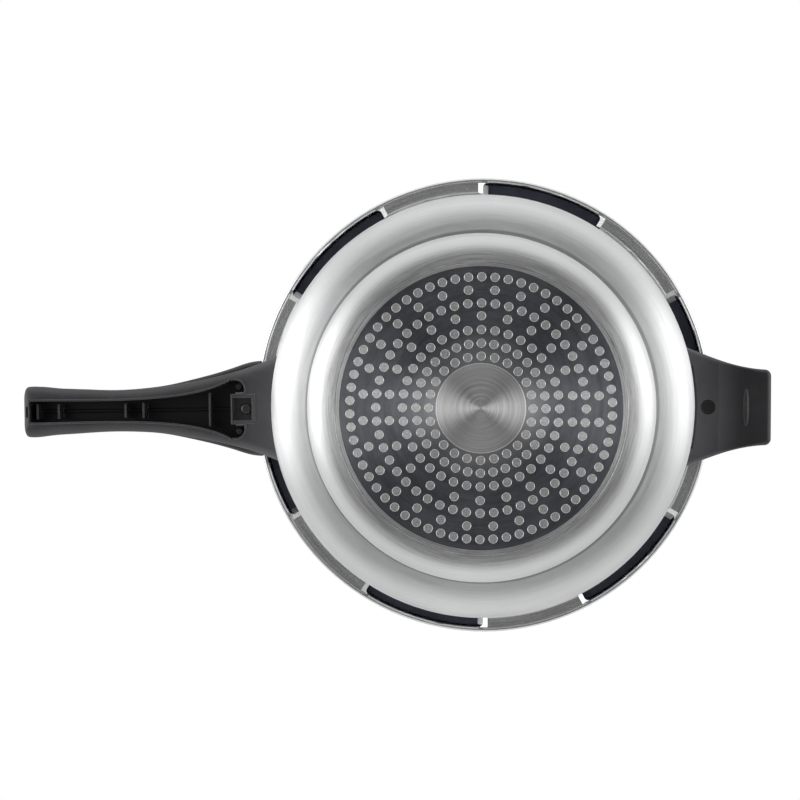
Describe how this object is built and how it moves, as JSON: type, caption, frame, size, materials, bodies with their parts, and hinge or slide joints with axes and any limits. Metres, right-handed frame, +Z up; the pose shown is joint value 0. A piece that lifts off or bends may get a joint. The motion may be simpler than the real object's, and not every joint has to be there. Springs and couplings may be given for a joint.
{
  "type": "stovetop pressure cooker",
  "caption": "Stepped aluminium pressure cooker with perforated induction base, bayonet lid, gasket, loose regulator weight, long paired handles and a helper handle.",
  "frame": {"origin": "on the pot's axis, at the centre of the base's underside", "axes": "+Z up along the pot's axis, +X along the long handles, helper handle along -X"},
  "size_m": [0.4039, 0.2484, 0.2052],
  "materials": {
    "polished_aluminium": "polished, finely brushed round",
    "induction_steel": "dark turned ferritic steel",
    "handle_plastic": "satin moulded phenolic",
    "plug_plastic": "moulded",
    "gasket_rubber": "moulded rubber",
    "seal_rubber": "moulded rubber",
    "bracket_steel": "pressed plate",
    "rivet_aluminium": "headed",
    "screw_steel": "zinc plated",
    "vent_steel": "turned",
    "pin_steel": "polished",
    "valve_brass": "turned",
    "fusible_alloy": "cast alloy",
    "weight_steel": "polished"
  },
  "bodies": {
    "pot": {"pot_body": "polished_aluminium", "induction_plate": "induction_steel", "body_handle": "handle_plastic", "body_handle_bracket": "bracket_steel", "body_handle_screw": "screw_steel", "body_handle_rivets": "rivet_aluminium", "helper_handle": "handle_plastic", "helper_handle_bracket": "bracket_steel", "helper_handle_screw": "screw_steel", "helper_handle_rivets": "rivet_aluminium", "helper_screw_plug": "plug_plastic"},
    "gasket": {"gasket": "gasket_rubber"},
    "lid": {"lid_shell": "polished_aluminium", "lid_handle": "handle_plastic", "lid_handle_bracket": "bracket_steel", "lid_handle_screws": "screw_steel", "lid_handle_rivets": "rivet_aluminium", "vent_pipe": "vent_steel", "vent_pipe_washer": "seal_rubber", "vent_pipe_nut": "vent_steel", "safety_plug": "valve_brass", "safety_plug_core": "fusible_alloy", "safety_plug_washer": "seal_rubber", "safety_plug_nut": "valve_brass", "indicator_bush": "vent_steel", "indicator_washer": "seal_rubber", "indicator_nut": "vent_steel"},
    "weight": {"regulator_weight": "weight_steel", "regulator_cap": "plug_plastic"},
    "indicator": {"indicator_pin": "pin_steel", "indicator_seal": "seal_rubber"}
  },
  "joints": [
    {"name": "lid_lift", "type": "slide", "parent": "pot", "child": "gasket", "axis": [0, 0, 1], "range_m": [0, 0.15]},
    {"name": "lid_turn", "type": "hinge", "parent": "gasket", "child": "lid", "pos_m": [0, 0, 0.14], "axis": [0, 0, 1], "range_deg": [0, 30]},
    {"name": "weight_lift", "type": "slide", "parent": "lid", "child": "weight", "axis": [0, 0, 1], "range_m": [0, 0.03]},
    {"name": "indicator_rise", "type": "slide", "parent": "lid", "child": "indicator", "axis": [0, 0, 1], "range_m": [0, 0.004]}
  ]
}
